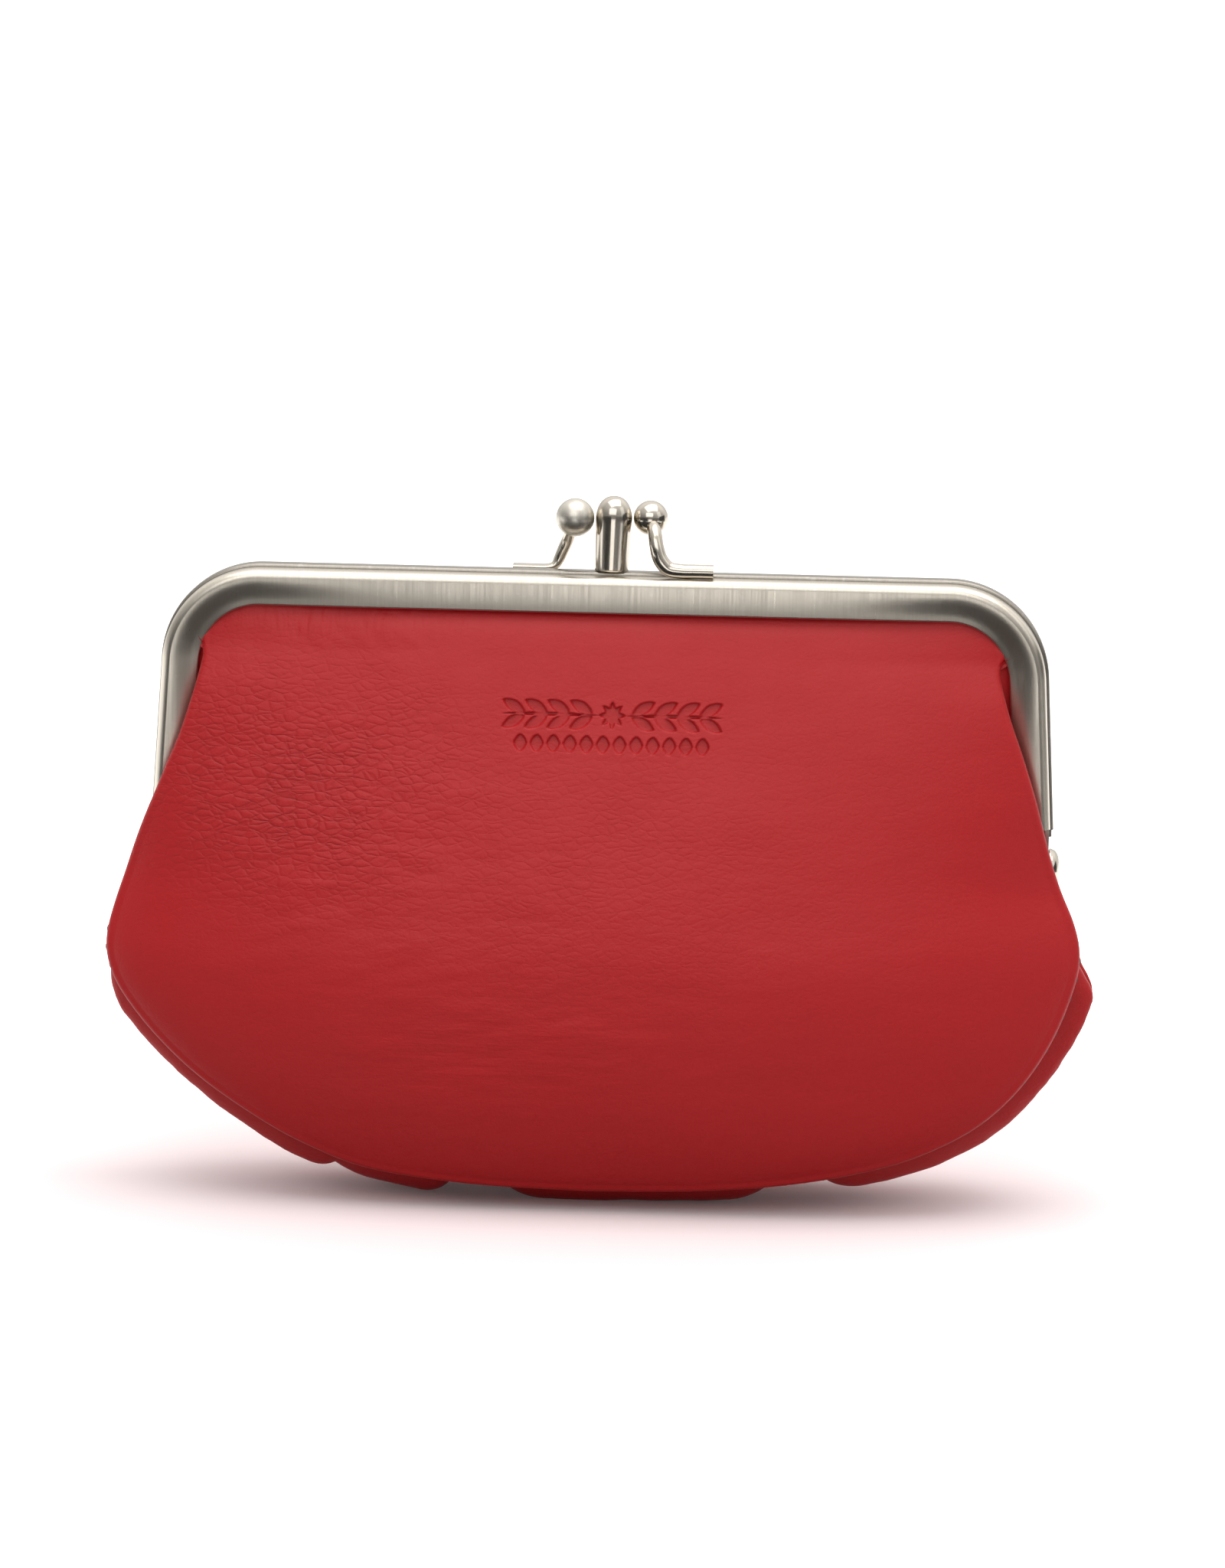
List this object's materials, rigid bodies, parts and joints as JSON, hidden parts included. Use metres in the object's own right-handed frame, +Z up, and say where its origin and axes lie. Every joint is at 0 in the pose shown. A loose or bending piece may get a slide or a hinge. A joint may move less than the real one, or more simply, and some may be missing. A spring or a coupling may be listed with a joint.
{
  "type": "coin purse",
  "caption": "Leather clip purse with a metal frame of three leaves on shared hinges, two compartments and a ball-and-post snap clasp.",
  "frame": {"origin": "on the floor, under the middle of the purse", "axes": "+X to the right as seen from the front, the front faces -Y, +Z up"},
  "size_m": [0.14, 0.0416, 0.1012],
  "materials": {
    "red_leather": "smooth pebbled nappa, satin",
    "brushed_nickel": "brushed nickel plate",
    "polished_nickel": "polished nickel plate",
    "lining_fabric": "plain woven",
    "paper_cord": "twisted paper",
    "sewing_thread": "twisted polyester"
  },
  "bodies": {
    "root": {"middle_frame_leaf": "polished_nickel", "middle_clasp_post": "polished_nickel", "middle_paper_cord": "paper_cord", "hinge_rivet_left": "polished_nickel", "hinge_rivet_right": "polished_nickel", "divider": "red_leather", "front_panel_lower": "red_leather", "rear_panel_lower": "red_leather", "front_gusset": "red_leather", "rear_gusset": "red_leather", "front_lining_lower": "lining_fabric", "rear_lining_lower": "lining_fabric", "front_seam_thread": "sewing_thread", "rear_seam_thread": "sewing_thread"},
    "front_leaf": {"front_frame_leaf": "brushed_nickel", "front_clasp_stem": "polished_nickel", "front_clasp_ball": "polished_nickel", "front_paper_cord": "paper_cord", "front_panel_upper": "red_leather", "front_lining_upper": "lining_fabric"},
    "rear_leaf": {"rear_frame_leaf": "brushed_nickel", "rear_clasp_stem": "polished_nickel", "rear_clasp_ball": "brushed_nickel", "rear_paper_cord": "paper_cord", "rear_panel_upper": "red_leather", "rear_lining_upper": "lining_fabric"}
  },
  "joints": [
    {"name": "front_leaf_hinge", "type": "hinge", "parent": "root", "child": "front_leaf", "pos_m": [0, 0, 0.049], "axis": [1, 0, 0], "range_deg": [0, 65], "deforming": ["front_panel_upper", "front_lining_upper"]},
    {"name": "rear_leaf_hinge", "type": "hinge", "parent": "root", "child": "rear_leaf", "pos_m": [0, 0, 0.049], "axis": [-1, 0, 0], "range_deg": [0, 65], "deforming": ["rear_panel_upper", "rear_lining_upper"]}
  ]
}
